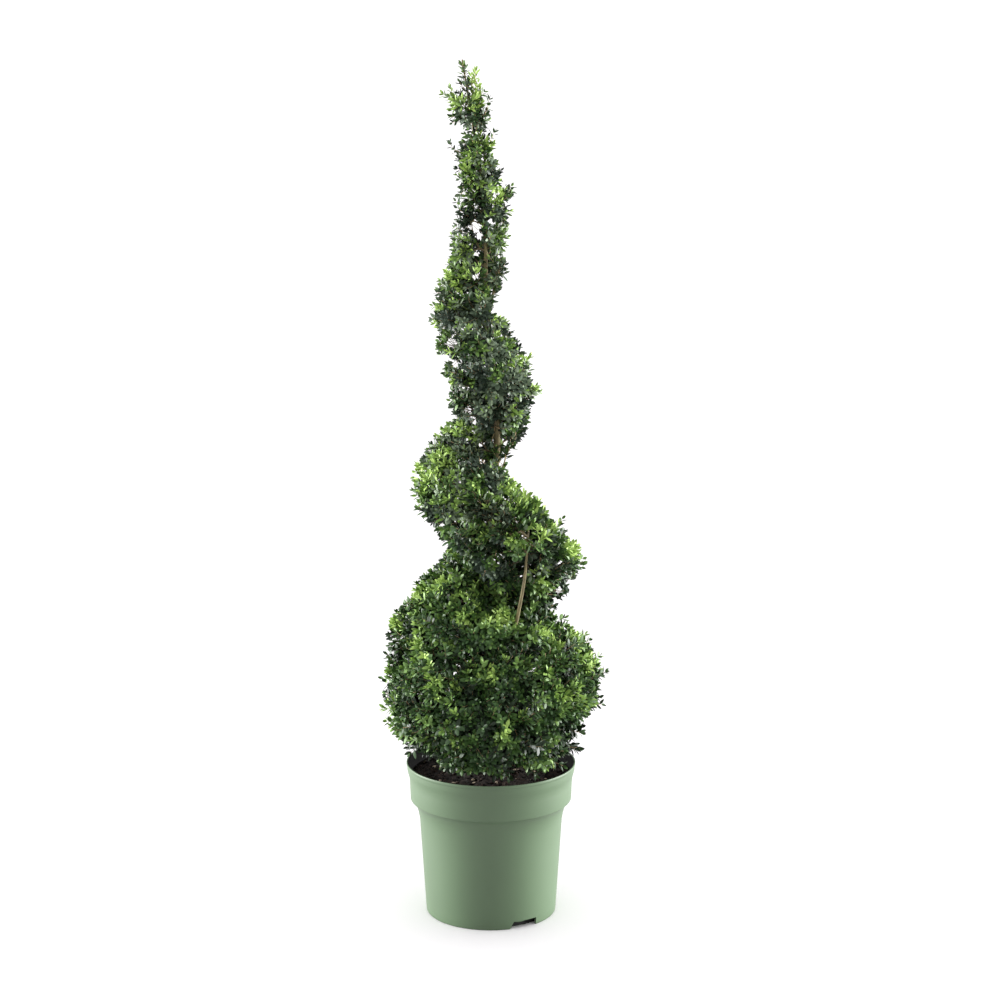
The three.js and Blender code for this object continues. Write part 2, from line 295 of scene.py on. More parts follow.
def makePot():
    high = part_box("pot")[1]
    top, rim = high.z, high.x
    wall, channel, inner = pot["wall"], pot["channelHeight"], pot["channelInner"]
    slope, edge, foot = pot["channelSlope"], pot["footRound"], pot["footRadius"]

    def wallAt(height):
        return float(np.interp(height, (0, pot["wallTop"]), (foot, pot["wallTopRadius"])))

    profile = [
        (0, wall),
        (inner - wall, wall),
        (inner + slope - wall, channel + wall),
        (foot - wall, channel + wall),
        (pot["wallTopRadius"] - wall, pot["wallTop"]),
        *[(radius - wall, height + wall * 0.6) for radius, height in reversed(pot["shoulder"])],
        (rim - wall, top),
        (rim, top),
        *pot["lip"],
        *pot["shoulder"],
        (pot["wallTopRadius"], pot["wallTop"]),
        (wallAt(0.100), 0.100),
        (wallAt(0.050), 0.050),
        (wallAt(channel + slope), channel + slope),
        (foot, edge * 1.5),
        (foot - edge, 0),
        (foot - pot["footRing"], 0),
        (foot - pot["footRing"] - edge, channel),
        (inner + slope, channel),
        (inner, 0),
        (0, 0),
    ]
    bm = spun(profile, pot["segments"])
    roundRings(bm, pot["edgeRound"])
    for face in bm.faces:  # the inner faces are the black layer
        middle = face.calc_center_median()
        inwards = face.normal.x * middle.x + face.normal.y * middle.y < 0
        out = math.hypot(middle.x, middle.y)
        floorOf = face.normal.z > 0.7 and edge * 1.5 < middle.z < top - 0.005
        channelOf = inner - edge < out < foot - 0.003 and edge / 2 < middle.z < channel + edge
        if (inwards and channel + edge < middle.z < top - edge) or floorOf or channelOf:
            face.material_index = 1
    shell = pieceFromBmesh("potShell", bm, [
        plasticMaterial("sagePlastic", pot["sage"], pot["sageRough"]),
        plasticMaterial("blackPlastic", pot["innerFace"], pot["innerRough"]),
    ])
    cutters = []
    for angle in pot["notchAngles"]:
        block = bmesh.new()
        bmesh.ops.create_cube(block, size=1)
        bmesh.ops.scale(block, vec=(pot["notchDepth"], pot["notchWidth"], channel + edge), verts=block.verts)
        for corner in block.verts:  # one end of each notch slopes
            if corner.co.z > 0 and corner.co.y < 0:
                corner.co.y += pot["notchSlant"]
        bmesh.ops.translate(block, vec=(foot - 0.003, 0, (channel - edge) / 2), verts=block.verts)
        bmesh.ops.rotate(block, matrix=Matrix.Rotation(math.radians(angle), 3, "Z"), verts=block.verts)
        cutters.append(pieceFromBmesh(f"notchCutter{angle % 360}", block, []))
        cut = shell.modifiers.new(cutters[-1].name, "BOOLEAN")
        cut.operation = "DIFFERENCE"
        cut.object = cutters[-1]
    evaluated = shell.evaluated_get(bpy.context.evaluated_depsgraph_get())
    shell.data = bpy.data.meshes.new_from_object(evaluated)
    shell.modifiers.clear()
    for cutter in cutters:
        bpy.data.objects.remove(cutter)
    shell.data.set_sharp_from_angle(angle=math.radians(pot["sharpFrom"]))
    declare(shell, "pot", "pot")


makePot()
print("pot ready")


# Soil

soil = {
    "seed": 21,
    "rings": 46,
    "segments": 120,
    "edgeDrop": 0.003,
    "relief": 0.0028,
    "crumbs": 1500,
    "crumbSize": (0.0012, 0.0038),
    "largeCrumbs": (0.06, 1.5),  # their share and how much larger they are
    "crumbKinds": (0.56, 0.42, 0.02),  # shares of dark, brown and pale ones
    "side": ((0.1075, 0.166), (0.098, 0.150), (0.0885, 0.0145), (0.076, 0.0145), (0.074, 0.0035),
             (0, 0.0035)),  # radius and height, down the inside of the pot
    "grain": (260, 260, 260),
    "dark": (22, 16, 12),
    "brown": (50, 35, 26),
    "pale": (176, 160, 138),
}


def soilMaterial(name, dark, light):
    made = plainMaterial(name, dark, 0.95)
    lumps = noiseOf(made, soil["grain"], 6.0, Roughness=0.7)
    wire(made, "Base Color", rampOf(made, lumps, [(0.35, dark), (0.68, light)]))
    bumpOf(made, lumps, 0.6, 0.0015)
    return made


def soilHeight(x, y, top, reach):
    spot = Vector((x, y, 0))
    lumps = noise.noise(spot * 60) + 0.6 * noise.noise(spot * 160 + Vector((7, 3, 1)))
    fine = 0.35 * noise.noise(spot * 420)
    outward = math.hypot(x, y) / reach
    return top - soil["edgeDrop"] * outward ** 2 + soil["relief"] * (lumps + fine - 0.6)


def makeSoil():
    rng = np.random.default_rng(soil["seed"])
    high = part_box("soil")[1]
    reach = high.x - 0.0009
    top = high.z
    face = [(reach * ring / soil["rings"], top) for ring in range(soil["rings"] + 1)]
    bm = spun([*face, *soil["side"]], soil["segments"])
    for corner in bm.verts:
        if corner.co.z > top - 1e-5:
            corner.co.z = soilHeight(corner.co.x, corner.co.y, top, reach)
    bed = pieceFromBmesh("soilBed", bm, [soilMaterial("soilPeat", soil["dark"], soil["brown"])])
    declare(bed, "soil", "soil")

    crumbs = bmesh.new()
    often, larger = soil["largeCrumbs"]
    for _ in range(soil["crumbs"]):
        radius = reach * 0.985 * math.sqrt(rng.random())
        angle = rng.random() * math.tau
        x, y = radius * math.cos(angle), radius * math.sin(angle)
        size = rng.uniform(*soil["crumbSize"]) * (larger if rng.random() < often else 1.0)
        made = bmesh.ops.create_icosphere(crumbs, subdivisions=1, radius=size)["verts"]
        shape = (1, rng.uniform(0.45, 0.9), rng.uniform(0.3, 0.7))
        bmesh.ops.scale(crumbs, vec=shape, verts=made)
        for corner in made:
            corner.co *= rng.uniform(0.75, 1.2)
        turn = Matrix.Rotation(rng.random() * math.tau, 3, "Z")
        turn = turn @ Matrix.Rotation(rng.uniform(-0.6, 0.6), 3, "X")
        bmesh.ops.rotate(crumbs, matrix=turn, verts=made)
        lift = soilHeight(x, y, top, reach) + size * 0.12
        bmesh.ops.translate(crumbs, vec=(x, y, lift), verts=made)
        kind = rng.choice(3, p=soil["crumbKinds"])
        for face in {f for corner in made for f in corner.link_faces}:
            face.material_index = kind
    loose = pieceFromBmesh("soilCrumbs", crumbs, [
        plainMaterial("crumbDark", soil["dark"], 0.95),
        plainMaterial("crumbBrown", soil["brown"], 0.95),
        plainMaterial("crumbPale", soil["pale"], 0.9),
    ], smooth=False)
    declare(loose, "soil")


makeSoil()
print("soil ready")


# Trunk and boughs

bark = {
    "rough": 0.82,
    "furrow": (70, 62, 40),
    "ridge": (122, 113, 76),
    "streaks": (420, 420, 70),  # lumps in a metre
    "patches": (60, 60, 28),
    "ringGap": 0.0022,
    "slimness": {"trunk": 0.88, "side_stem": 0.72, "groove_bough_lower": 0.5, "groove_bough_upper": 0.6},
    "bow": {  # height, and how far the limb bows to the right there
        "side_stem": ((0.40, 0), (0.50, 0.004), (0.55, 0.0015), (0.60, 0)),
        "groove_bough_lower": ((0.63, 0), (0.665, -0.007), (0.69, -0.004)),
    },
    "relief": 0.09,  # share of the limb's radius
    "ridges": ((260, 55, 1), (600, 130, 0.5)),  # in a metre across and along, and share
    "boughs": ("side_stem", "low_bough_front", "low_bough_right", "low_bough_back", "low_bough_left",
               "groove_bough_lower", "groove_bough_upper"),
}


def barkMaterial(name, furrow, ridge):
    made = plainMaterial(name, ridge, bark["rough"])
    streaks = noiseOf(made, bark["streaks"], 5.0, Roughness=0.65)
    patches = noiseOf(made, bark["patches"], 3.0)
    both = addNode(made, "ShaderNodeMath", [(0, streaks), (1, patches)], operation="ADD")
    half = addNode(made, "ShaderNodeMath", [(0, both.outputs[0])], operation="MULTIPLY")
    half.inputs[1].default_value = 0.5
    wire(made, "Base Color", rampOf(made, half.outputs[0], [(0.36, furrow), (0.62, ridge)]))
    bumpOf(made, streaks, 0.5, 0.0008)
    return made


def cornersOf(node):
    mesh = nodes[node].data
    points = np.empty(len(mesh.vertices) * 3)
    mesh.vertices.foreach_get("co", points)
    return points.reshape(-1, 3)


def smoothThrough(rows, gap):
    # Rows of numbers along a line, filled in smoothly in steps about gap long.
    rows = np.vstack([2 * rows[0] - rows[1], rows, 2 * rows[-1] - rows[-2]])
    made = [rows[1]]
    for before, start, end, after in zip(rows, rows[1:], rows[2:], rows[3:]):
        steps = max(1, round(float(np.linalg.norm((end - start)[:3])) / gap))
        for t in np.arange(1, steps + 1) / steps:
            made.append(0.5 * (2 * start + (end - before) * t
                               + (2 * before - 5 * start + 4 * end - after) * t ** 2
                               + (3 * start - before - 3 * end + after) * t ** 3))
    return np.array(made)


def limbLine(node, gap):
    # The middle of a limb from foot to tip, with its radius, from the rings of its solid.
    points = np.unique(cornersOf(node).round(5), axis=0)
    centred = points - points.mean(axis=0)
    axis = np.linalg.svd(centred, full_matrices=False)[2][0]
    axis = axis * np.sign(axis[2])
    along = centred @ axis
    order = np.argsort(along)
    breaks = np.flatnonzero(np.diff(along[order]) > bark["ringGap"]) + 1
    rings = [points[ring] for ring in np.split(order, breaks) if len(ring) >= 5]
    middles = np.array([ring.mean(axis=0) for ring in rings])
    headings = unit(np.gradient(middles, axis=0))
    slimness = bark["slimness"].get(node, bark["slimness"]["trunk"])
    rows = []
    for ring, middle, heading in zip(rings, middles, headings):
        out = ring - middle
        out = out - (out @ heading)[:, None] * heading
        if node in bark["bow"]:
            middle = middle + (atHeight(bark["bow"][node], middle[2]), 0, 0)
        rows.append((*middle, np.median(np.linalg.norm(out, axis=1)) * slimness))
    return smoothThrough(np.array(rows), gap)


def barkedLimb(bm, line, sides):
    # A ring drawn out along the limb, with the bark's relief on its wall.
    headings = unit(np.gradient(line[:, :3], axis=0))
    ring = bmesh.ops.create_circle(bm, segments=sides, radius=1, cap_ends=True)["verts"]
    edges = list({e for corner in ring for e in corner.link_edges if len(e.link_faces) == 1})
    middleWas, sideWas, otherWas = Vector((0, 0, 0)), Vector((1, 0, 0)), Vector((0, 1, 0))
    for step, (row, heading) in enumerate(zip(line, headings)):
        if step:
            made = bmesh.ops.extrude_edge_only(bm, edges=edges)["geom"]
            ring = [g for g in made if isinstance(g, bmesh.types.BMVert)]
            edges = [g for g in made if isinstance(g, bmesh.types.BMEdge) and len(g.link_faces) == 1]
        middle = Vector(row[:3])
        side = Vector(np.cross(heading, (0.3, 1.0, 0.1))).normalized()
        other = Vector(heading).cross(side)
        for corner in ring:  # each keeps its angle round the limb
            way = corner.co - middleWas
            angle = math.atan2(way.dot(otherWas), way.dot(sideWas))
            out = side * math.cos(angle) + other * math.sin(angle)
            spot = middle + out * row[3]
            ridges = sum(share * noise.noise(Vector((spot.x * fine, spot.y * fine, spot.z * long)))
                         for fine, long, share in bark["ridges"])
            corner.co = middle + out * row[3] * (1 + bark["relief"] * ridges)
        middleWas, sideWas, otherWas = middle, side, other
    bmesh.ops.contextual_create(bm, geom=edges)


def makeWood():
    made = barkMaterial("barkGreyBrown", bark["furrow"], bark["ridge"])
    bm = bmesh.new()
    barkedLimb(bm, limbLine("trunk", 0.006), 20)
    bmesh.ops.recalc_face_normals(bm, faces=bm.faces)
    declare(pieceFromBmesh("trunkBark", bm, [made]), "bark", "trunk")
    bm = bmesh.new()
    for node in bark["boughs"]:
        barkedLimb(bm, limbLine(node, 0.005), 12)
    bmesh.ops.recalc_face_normals(bm, faces=bm.faces)
    declare(pieceFromBmesh("boughBark", bm, [made]), "bark", *bark["boughs"])


makeWood()
print("trunk and boughs ready")


# Crown

crown = {
    "seed": 5,
    "soundings": 11e-6,  # clipped face for each sounding point, square metres
    "contact": 0.0042,  # faces nearer than this to another solid are inside the crown
    "tipGap": 0.0076,  # least room between the ends of two shoots
    # Height, and how far each side's shoots reach further right there, in millimetres.
    "leftShift": (
        (232, 12), (245, 18), (268, -2), (320, 4), (335, -2), (365, 6), (425, -2), (440, 0), (465, 8),
        (485, 4), (505, 12), (575, 11), (600, -1), (620, -6), (638, -2), (655, -8), (700, 0),
        (730, -11), (760, -5), (840, -8), (905, -7), (935, 2), (1025, -6), (1060, -2), (1100, 3),
        (1118, -9),
    ),
    "rightShift": (
        (235, 0), (268, -18), (315, 10), (345, 1), (395, 0), (410, -9), (425, -24), (445, 4),
        (500, 9), (560, -3), (605, -7), (635, -15), (650, -18), (665, -28), (680, -12), (695, -6),
        (720, -9), (757, 4), (785, -3), (815, 4), (855, -13), (920, -6), (1000, 1), (1040, 6),
        (1070, 0), (1100, 9), (1130, 0),
    ),
    "levels": (220, 1210, 10),  # where the sides are found, in millimetres: lowest, end, step
    "levelReach": 14,
    # Height, and how full the crown is there.
    "fullness": ((0.42, 0.58), (0.52, 0.42), (0.6, 0.42), (0.9, 0.36), (1.09, 0.36), (1.13, 0.32)),
    "tipDepth": (0.002, 0.018),  # how far under the clipped face the shoots end, least and spread
    "mostBump": 1.4,
    "longShare": ((0.4, 0.04), (0.6, 0)),  # height, and share of shoots past the clipped face
    "longShoots": (0.002, 0.009),  # how far past it
    "stragglers": {"height": 0.268, "spread": 0.028, "left": 0.45, "right": 0.2, "across": (0.10, 0.13)},
    "tuftReach": 0.008,  # how far tufts stand out and hollows lie back
    "gapRaggedness": 2.4,
    "shootSpare": 2.5,  # how far shoots keep clear of a gap's edge, in millimetres
    "leafSpare": 1.5,
    "boughTips": {"Ball": 70, "Turn": 40},  # most shoots on a branch that leaves a limb
    "slopes": (0.42, 0.85),  # rise of the branches for each metre, least and most
    "outsidePrice": 0.03,
    "sprayTips": 5,  # most shoots in a spray
    "leafyTips": {"Ball": 64, "Turn": 20},  # branches with fewer shoots than this keep a few old leaves
    "forkReach": 2.1,  # how far before its shoots a branch forks, in times their spread
    "shootLength": 0.031,
    "sag": ((0.235, 0.004), (0.27, 0.002), (0.30, 0)),  # height, and how far the low shoots hang
    "tuftFrom": 1.112,  # the tuft above here is clipped less
    "tuftSpread": 0.004,
    "topFrom": 1.158,  # above here only the leader and the top shoots reach up
    "topShoots": (  # where each leaves the trunk, where it ends, in millimetres, and how new it is
        (1115, (-20, -6, 1189), 1.0), (1118, (-25, -3, 1182), 1.0), (1122, (-15, -4, 1166), 1.0),
        (1125, (-17, 5, 1172), 1.0), (1118, (-25, 2, 1163), 0.85), (1132, (-54, -2, 1166), 0.9),
        (1140, (-49, 8, 1157), 0.7), (1105, (-1, -3, 1152), 0.5), (1070, (5, 2, 1108), 0.5),
        (1066, (-55, -4, 1092), 0.4),
    ),
    "shortShoots": (  # limb, heights between which it bears them, their reach, region
        ("trunk", (0.90, 1.165), (0.010, 0.021), "TurnThree"),
        ("trunk", (1.165, 1.192), (0.001, 0.004), "TurnThree"),
        ("groove_bough_lower", (0, 1), (0.002, 0.006), "TurnTwo"),
        ("groove_bough_lower", (0, 0.645), (0.006, 0.012), "TurnTwo"),
        ("groove_bough_upper", (0, 1), (0.004, 0.009), "TurnThree"),
        ("groove_bough_upper", (0, 1), (0.008, 0.014), "TurnThree"),
        ("trunk", (0.636, 0.735), (0.009, 0.019), "TurnTwo"),
        ("trunk", (0.26, 0.44), (0.03, 0.08), "BallHigh"),
    ),
    "shortRise": (0.004, 0.014),
    "twigRadius": 0.00042,
    "thickening": 0.43,  # power of the number of shoots that gives a twig's radius
    "fineTwig": 0.0008,  # twigs thinner than this have three sides, others five
    "browns": 0.7,  # share of the last twigs that are brown, others are tan
    # Height, and how new the growth is there; the lift in the turns and at the top is partly painted light,
    # not only newer growth.
    "newGrowthAndLight": ((0.40, 0.385), (0.52, 0.545), (1.04, 0.545), (1.10, 0.745)),
    # sprays that face up get lighter tones: partly new growth, partly painted light from above
    "newAndLitOnTop": 0.19,
    "tuftStrength": ((0.45, 0.7), (0.55, 0.9)),  # height, and what a tuft adds to it
    # how much darker the leaves in the hollows are, painted shade
    "hollowShade": 0.4,
    # Dull leaves are greyer and paler: partly their own colour, partly painted sheen and sky haze on the thin
    # upper turns.
    "dullSheenShare": ((0.42, 0), (0.74, 0.86)),  # height, and share of sprays with dull leaves
    "toneLimits": (0.16, 0.42, 0.62, 0.80, 0.98),
}

leaf = {
    "length": (0.0092, 0.0138),
    "widthShare": (0.43, 0.55),
    "steps": (0.0005, 0.0035, 0.0075, 0.0122),  # of the pairs of leaves back from the shoot's end
    "oldStep": {"Ball": 0.0037, "Turn": 0.0046},
    "openings": (0.50, 0.80, 1.02, 1.12, 1.18),  # angle from the shoot, radians
    "sizes": (0.62, 0.86, 1.0, 1.0, 0.97),
    "sizeAtHeight": ((0.5, 1), (1.15, 0.86)),
    "freshFrom": 4,  # tone from which leaves stand closer to the shoot and are slimmer
    "freshOpening": 0.8,
    "freshWidth": 0.82,
    "turnSpread": 0.25,
    "openingSpread": 0.2,
    "aimSpread": 0.12,
    "faceSpread": 0.2,
    "aimOut": 0.12,  # how much the leaves lean out of the crown
    "faceUp": 0.32,
    "faceOut": 0.12,
    "curl": (0.4, 1.3),
    "stalk": 0.0006,
    "rough": 0.5,
    "specular": 0.27,
    "plainFrom": 4,  # from this pair back the outline is plainer
}

# Leaf colours from the oldest to the newest growth, then the dull ones. The darker tones also stand for
# painted shade inside the crown and in the hollows, the lighter ones partly for painted light; the dull ones
# are greyer leaves with painted sheen.
leafTints = {
    "leafShade": (22, 37, 18),
    "leafDeep": (37, 60, 28),
    "leafGreen": (54, 81, 36),
    "leafLight": (82, 110, 52),
    "leafFresh": (110, 139, 66),
    "leafFlush": (143, 170, 87),
    "dullSheenDeep": (44, 58, 45),
    "dullSheenGreen": (70, 85, 66),
    "dullSheenLight": (109, 124, 99),
}

twigTints = {
    "twigBrown": (94, 83, 58),
    "twigTan": (150, 128, 92),
    "twigGreen": (110, 128, 66),
}

# Places seen from the front, in millimetres: how far right of the pot's middle, how high, how wide.
freshTufts = (
    (-20, 1175, 9), (-20, 1160, 8), (-45, 1155, 7), (0, 1095, 7), (-32, 1055, 7), (6, 1023, 16),
    (22, 1029, 8), (23, 996, 8), (-55, 915, 8), (-75, 870, 8), (-76, 845, 8), (45, 800, 9),
    (65, 755, 8), (-60, 735, 8), (-65, 660, 16), (-80, 630, 13), (-100, 645, 9), (30, 620, 11),
    (45, 600, 14), (70, 585, 11), (90, 560, 10), (115, 530, 12), (30, 545, 10), (75, 545, 8),
    (70, 490, 13), (60, 455, 11), (10, 425, 19), (-35, 430, 12), (-110, 390, 11), (-135, 425, 13),
    (-110, 460, 12), (120, 405, 14), (140, 355, 14), (75, 410, 11), (20, 370, 12), (0, 350, 15),
    (30, 365, 9), (80, 350, 10), (20, 260, 12), (-50, 250, 9), (-95, 375, 8), (-50, 290, 8),
    (70, 310, 10), (135, 305, 10), (-120, 330, 10), (45, 290, 8),
)
skyGaps = (
    (-20, 980, 6), (-14, 965, 4), (0, 985, 4), (-18, 942, 4), (-20, 910, 4), (-20, 1005, 3),
    (-10, 1076, 3), (-35, 1140, 4), (-54, 820, 7), (-61, 799, 4), (-50, 790, 4), (-30, 726, 5),
    (-23, 708, 3), (-12, 677, 4), (-11, 653, 5), (20, 681, 3), (16, 650, 4), (-49, 565, 4),
    (-68, 563, 4), (-100, 632, 3), (96, 470, 4), (108, 480, 3), (90, 455, 4), (79, 533, 3),
    (97, 508, 3), (62, 488, 2), (36, 567, 2), (45, 463, 2), (26, 1010, 4),
)
# Hollows between the sprays: the shoots there end deeper, and their leaves are dealt darker tones, painted
# shade.
hollows = (
    (-65, 365, 13), (30, 395, 14), (-22, 325, 14), (-12, 295, 14), (5, 272, 12), (22, 312, 11),
    (50, 325, 10), (-35, 445, 11), (-5, 530, 16), (20, 505, 12), (-45, 545, 14), (-20, 590, 14),
    (0, 625, 12), (-30, 655, 10), (-20, 1012, 15), (-10, 1048, 13), (-28, 935, 14), (-8, 940, 10),
    (-35, 985, 10),
)
# Limbs that no leaf hides from the front: from, to, and half the width, in metres.
openToView = {"side_stem": (0.44, 0.545, 0.0034), "trunk": (0.690, 0.708, 0.005)}

ballLow = [n for n in sorted(nodes) if n.startswith("ball_low")]
ballNear = [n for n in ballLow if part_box(n)[0].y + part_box(n)[1].y < 0]

regions = {
    "BallNear": ballNear,
    "BallFar": [n for n in ballLow if n not in ballNear],
    "BallHigh": [n for n in sorted(nodes) if n.startswith("ball_high")],
    "TurnOne": ["spiral_01", "spiral_02", "spiral_03"],
    "TurnTwo": ["spiral_04", "spiral_05", "spiral_06"],
    "TurnThree": ["spiral_07", "spiral_08", "spiral_09", "spiral_10", "tip"],
}
regionOf = {n: region for region, names in regions.items() for n in names}
masses = list(regionOf)

rng = np.random.default_rng(crown["seed"])


def treeOf(points):
    tree = KDTree(len(points))
    for index, point in enumerate(points):
        tree.insert(point, index)
    tree.balance()
    return tree


def soundCrown():
    # Points all over the clipped faces that meet the air, with their outward directions and masses.
    parts = []
    for node in [*masses, "trunk", *bark["boughs"]]:
        mesh = nodes[node].data
        faces = np.empty(len(mesh.loops), np.int32)
        mesh.loops.foreach_get("vertex_index", faces)
        owner = masses.index(node) if node in masses else -1
        parts.append((cornersOf(node), faces.reshape(-1, 3), [owner] * (len(faces) // 3)))
    corners, triangles, owners = joined(parts)
    solids = BVHTree.FromPolygons(corners.tolist(), triangles.tolist())
    leafy, owners = triangles[owners >= 0], owners[owners >= 0]
    a, b, c = (corners[leafy[:, k]] for k in range(3))
    cross = np.cross(b - a, c - a)
    area = np.linalg.norm(cross, axis=1) / 2
    pick = rng.choice(len(leafy), int(area.sum() / crown["soundings"]), p=area / area.sum())
    u, v = rng.random((2, len(pick)))
    folded = u + v > 1
    u[folded], v[folded] = 1 - u[folded], 1 - v[folded]
    points = a[pick] + u[:, None] * (b - a)[pick] + v[:, None] * (c - a)[pick]
    normals = unit(cross[pick])
    aired = [solids.ray_cast(Vector(p + n * 1e-4), Vector(n), crown["contact"])[0] is None
             for p, n in zip(points, normals)]
    return points[aired], normals[aired], owners[pick][aired]


skin, skinOut, skinOwner = soundCrown()
skinTree = treeOf(skin)
print("clipped faces sounded", len(skin))


def evened(points, normals, reach):
    # The outward direction at each point, smoothed over its neighbours.
    made = np.empty_like(normals)
    for index, point in enumerate(points):
        near = [j for _, j, _ in skinTree.find_range(point, reach)]
        made[index] = skinOut[near].mean(axis=0) + normals[index] * 0.1
    return unit(made)


def isInside(point):
    index = skinTree.find(point)[1]
    return float(np.dot(skin[index] - point, skinOut[index])) > 0


def spaced(points, gap):
    # A share of the points, none nearer to each other than gap.
    tree = treeOf(points)
    free = np.ones(len(points), bool)
    kept = []
    for index in rng.permutation(len(points)):
        if free[index]:
            kept.append(index)
            for _, j, _ in tree.find_range(points[index], gap):
                free[j] = False
    return np.array(kept)


def clumps(point, size, shift=0.0):
    return noise.noise(Vector(point) / size + Vector((shift, shift * 0.7, -shift)))


def stragglersAt(point):
    # Long loose shoots are common low on the ball's sides.
    loose = crown["stragglers"]
    level = math.exp(-((point[2] - loose["height"]) / loose["spread"]) ** 2)
    most = loose["left"] if point[0] < 0 else loose["right"]
    return most * level * np.interp(abs(point[0]), loose["across"], (0, 1))


def asSeen(points):
    # Where the line of sight to each point passes the upright plane through the pot's middle.
    eye = np.array(studio["camera"])
    share = -eye[1] / (points[..., 1] - eye[1])
    return (eye + (points - eye) * share[..., None])[..., [0, 2]]


def closeness(point, out, spots):
    # How close a point of the near side is to one of the spots, from 0 to 1.
    if out[1] > 0.35:
        return 0.0
    x, z = asSeen(point) * 1000
    return max(math.exp(-1.6 * ((x - side) ** 2 + (z - height) ** 2) / width ** 2)
               for side, height, width in spots)


def inGap(spots, spare):
    # Which spots stand in one of the sky gaps, or nearer to it than spare.
    seen = asSeen(spots) * 1000
    gaps = np.array(skyGaps)
    ragged = [crown["gapRaggedness"] * noise.noise(Vector((x / 4, z / 6, 0.5))) for x, z in seen]
    far = np.hypot(seen[:, None, 0] - gaps[:, 0], seen[:, None, 1] - gaps[:, 1])
    far += np.array(ragged)[:, None]
    return (far < gaps[:, 2] + spare).any(axis=1)


def sidewise(points):
    # How far each shoot is moved to the right, from its height and its place between the sides.
    seen = asSeen(points) * 1000
    levels = np.arange(*crown["levels"])
    across = [seen[np.abs(seen[:, 1] - level) < crown["levelReach"], 0] for level in levels]
    sides = np.array([(row.min(), row.max()) if len(row) else (-40, 0) for row in across])
    left, right = (np.interp(seen[:, 1], levels, sides[:, k]) for k in (0, 1))
    share = np.clip((seen[:, 0] - left) / np.maximum(right - left, 1), 0, 1)
    shifts = [atHeight(crown[table], seen[:, 1]) for table in ("leftShift", "rightShift")]
    return (shifts[0] * (1 - share) + shifts[1] * share) / 1000


def shootTips():
    # Where the shoots end, just under the clipped faces, with their directions and masses.
    kept = spaced(skin, crown["tipGap"])
    places, owners = skin[kept], skinOwner[kept]
    outs = evened(places, skinOut[kept], 0.016)
    least, extra = crown["tipDepth"]
    tips, ways, belongs = [], [], []
    for point, out, owner in zip(places, outs, owners):
        bumps = 0.45 + 0.95 * clumps(point, 0.028) + 0.4 * clumps(point, 0.011, 9)
        thinness = clumps(point, 0.022, 31) + 0.5 * clumps(point, 0.05, 17)
        tuft = closeness(point, out, freshTufts)
        hollow = closeness(point, out, hollows)
        bar = atHeight(crown["fullness"], point[2]) + tuft + 0.3 * hollow
        if thinness > bar or point[2] > crown["topFrom"]:
            continue
        depth = least + extra * np.clip(bumps, 0, crown["mostBump"])
        if point[2] > crown["tuftFrom"]:
            depth = rng.uniform(-crown["tuftSpread"], crown["tuftSpread"])
        elif rng.random() < atHeight(crown["longShare"], point[2]) + stragglersAt(point):
            depth = -rng.uniform(*crown["longShoots"])
        depth += crown["tuftReach"] * (hollow - tuft)
        tips.append(point - out * depth - up * atHeight(crown["sag"], point[2]))
        ways.append(out)
        belongs.append(owner)
    tips, ways, belongs = np.array(tips), np.array(ways), np.array(belongs)
    tips[:, 0] += sidewise(tips)
    kept = ~inGap(tips, crown["shootSpare"])
    return tips[kept], ways[kept], belongs[kept]


tips, tipOut, tipOwner = shootTips()
print("shoots planned", len(tips))

limbs = {node: limbLine(node, 0.007) for node in ("trunk", *bark["boughs"])}
limbs["side_stem"] = limbs["side_stem"][limbs["side_stem"][:, 2] > openToView["side_stem"][1]]
holds = np.concatenate(list(limbs.values()))

branches = []  # each: points, radii, tint, region
# Columns: base, direction, facing, length, width, curl, tone, and which pair of the shoot.
leafRows = {region: [] for region in regions}


def bentLine(start, heading, end, arrival, count):
    # A smooth line from start, which it leaves along heading, to end, which it reaches along arrival.
    t = np.linspace(0, 1, count + 1)[:, None]
    ease = t ** 2 * (3 - 2 * t)
    bend = t * (1 - t) ** 2 * heading - t ** 2 * (1 - t) * arrival
    return start + ease * (end - start) + bend * np.linalg.norm(end - start)


def halves(group):
    points = tips[group] - tips[group].mean(axis=0)
    axis = np.linalg.svd(points, full_matrices=False)[2][0]
    order = np.argsort(points @ axis)
    cut = int(round(len(group) * rng.uniform(0.38, 0.62)))
    return group[order[:cut]], group[order[cut:]]


def thickness(count):
    return crown["twigRadius"] * count ** crown["thickening"]


def freshnessAndLight(middle, out):
    # How new the growth of a spray is, from 0, old, to 1, bright; it is partly painted light, higher up and
    # on sprays that face up.
    score = atHeight(crown["newGrowthAndLight"], middle[2]) + crown["newAndLitOnTop"] * out[2]
    score += 0.66 * clumps(middle, 0.021, 3) + 0.26 * clumps(middle, 0.06, 5)
    return score + rng.normal(0, 0.14)


def standingOut(point, out):
    # What the tufts add to the freshness of a shoot, and the painted shade that the hollows take from it.
    tuft = atHeight(crown["tuftStrength"], point[2]) * closeness(point, out, freshTufts)
    return tuft - crown["hollowShade"] * closeness(point, out, hollows)


def toneOf(score):
    return int(np.searchsorted(crown["toneLimits"], score, side="right"))


